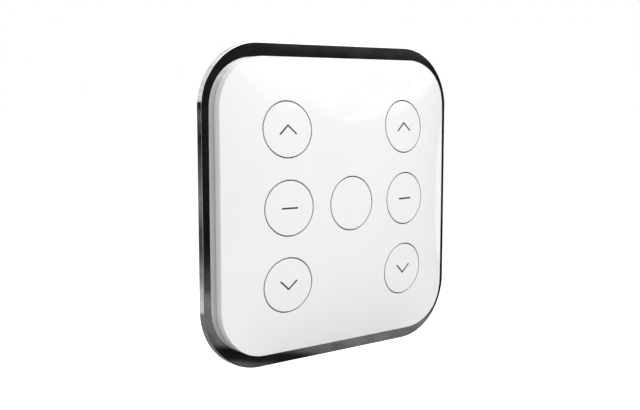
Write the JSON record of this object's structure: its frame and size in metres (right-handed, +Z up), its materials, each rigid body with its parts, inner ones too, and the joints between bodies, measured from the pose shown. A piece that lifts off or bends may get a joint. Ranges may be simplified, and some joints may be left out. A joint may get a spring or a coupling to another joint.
{
  "type": "wall transmitter",
  "caption": "Square crowned wall transmitter for a garage door, with round press keys in a glossy cover over a flat chromed frame, hung on a screwed wall plate.",
  "frame": {"origin": "middle of the wall plate's back face, on the wall", "axes": "+X to the right as seen from the room, +Z up, +Y into the wall"},
  "size_m": [0.086, 0.0144, 0.086],
  "materials": {
    "plate_plastic": "fine satin texture",
    "housing_plastic": "fine satin texture",
    "cell_steel": "nickel plated",
    "black_plastic": "moulded",
    "spring_metal": "nickel plated spring strip",
    "board_laminate": "solder mask",
    "guide_plastic": "moulded",
    "bezel_chrome": "mirror",
    "gloss_white": "high gloss",
    "gloss_white_keys": "high gloss",
    "legend_grey": "moulded in",
    "screw_steel": "zinc plated",
    "capacitor_ceramic": "ceramic body",
    "antenna_copper": "tinned copper track",
    "switch_case": "moulded"
  },
  "bodies": {
    "wall_plate": {"wall_plate": "plate_plastic"},
    "transmitter": {"rear_housing": "housing_plastic", "coin_cell": "cell_steel", "battery_holder": "black_plastic", "battery_plus_contact": "spring_metal", "battery_minus_contact": "spring_metal", "circuit_board": "board_laminate", "button_guide": "guide_plastic", "bezel_frame": "bezel_chrome", "front_cover": "gloss_white", "cover_screws": "screw_steel", "board_screws": "screw_steel", "microcontroller": "black_plastic", "radio_chip": "black_plastic", "crystal": "spring_metal", "capacitors": "capacitor_ceramic", "antenna_loop": "antenna_copper", "switch_body_left_up": "switch_case", "switch_body_left_stop": "switch_case", "switch_body_left_down": "switch_case", "switch_body_centre": "switch_case", "switch_body_right_up": "switch_case", "switch_body_right_stop": "switch_case", "switch_body_right_down": "switch_case"},
    "battery_door": {"battery_door": "housing_plastic"},
    "button_left_up": {"button_left_up": "gloss_white_keys", "legend_left_up": "legend_grey", "switch_plunger_left_up": "black_plastic"},
    "button_left_stop": {"button_left_stop": "gloss_white_keys", "legend_left_stop": "legend_grey", "switch_plunger_left_stop": "black_plastic"},
    "button_left_down": {"button_left_down": "gloss_white_keys", "legend_left_down": "legend_grey", "switch_plunger_left_down": "black_plastic"},
    "button_centre": {"button_centre": "gloss_white_keys", "switch_plunger_centre": "black_plastic"},
    "button_right_up": {"button_right_up": "gloss_white_keys", "legend_right_up": "legend_grey", "switch_plunger_right_up": "black_plastic"},
    "button_right_stop": {"button_right_stop": "gloss_white_keys", "legend_right_stop": "legend_grey", "switch_plunger_right_stop": "black_plastic"},
    "button_right_down": {"button_right_down": "gloss_white_keys", "legend_right_down": "legend_grey", "switch_plunger_right_down": "black_plastic"}
  },
  "joints": [
    {"name": "unit_lift", "type": "slide", "parent": "wall_plate", "child": "transmitter", "axis": [0, 0, 1], "range_m": [0, 0.0034]},
    {"name": "door_turn", "type": "hinge", "parent": "transmitter", "child": "battery_door", "pos_m": [0, -0.0035, 0.0205], "axis": [0, 1, 0], "range_deg": [0, 45]},
    {"name": "press_left_up", "type": "slide", "parent": "transmitter", "child": "button_left_up", "axis": [0, 1, 0], "range_m": [0, 0.0004], "stiffness_N_per_m": 1500, "springref_m": -0.0007},
    {"name": "press_left_stop", "type": "slide", "parent": "transmitter", "child": "button_left_stop", "axis": [0, 1, 0], "range_m": [0, 0.0004], "stiffness_N_per_m": 1500, "springref_m": -0.0007},
    {"name": "press_left_down", "type": "slide", "parent": "transmitter", "child": "button_left_down", "axis": [0, 1, 0], "range_m": [0, 0.0004], "stiffness_N_per_m": 1500, "springref_m": -0.0007},
    {"name": "press_centre", "type": "slide", "parent": "transmitter", "child": "button_centre", "axis": [0, 1, 0], "range_m": [0, 0.0004], "stiffness_N_per_m": 1500, "springref_m": -0.0007},
    {"name": "press_right_up", "type": "slide", "parent": "transmitter", "child": "button_right_up", "axis": [0, 1, 0], "range_m": [0, 0.0004], "stiffness_N_per_m": 1500, "springref_m": -0.0007},
    {"name": "press_right_stop", "type": "slide", "parent": "transmitter", "child": "button_right_stop", "axis": [0, 1, 0], "range_m": [0, 0.0004], "stiffness_N_per_m": 1500, "springref_m": -0.0007},
    {"name": "press_right_down", "type": "slide", "parent": "transmitter", "child": "button_right_down", "axis": [0, 1, 0], "range_m": [0, 0.0004], "stiffness_N_per_m": 1500, "springref_m": -0.0007}
  ]
}
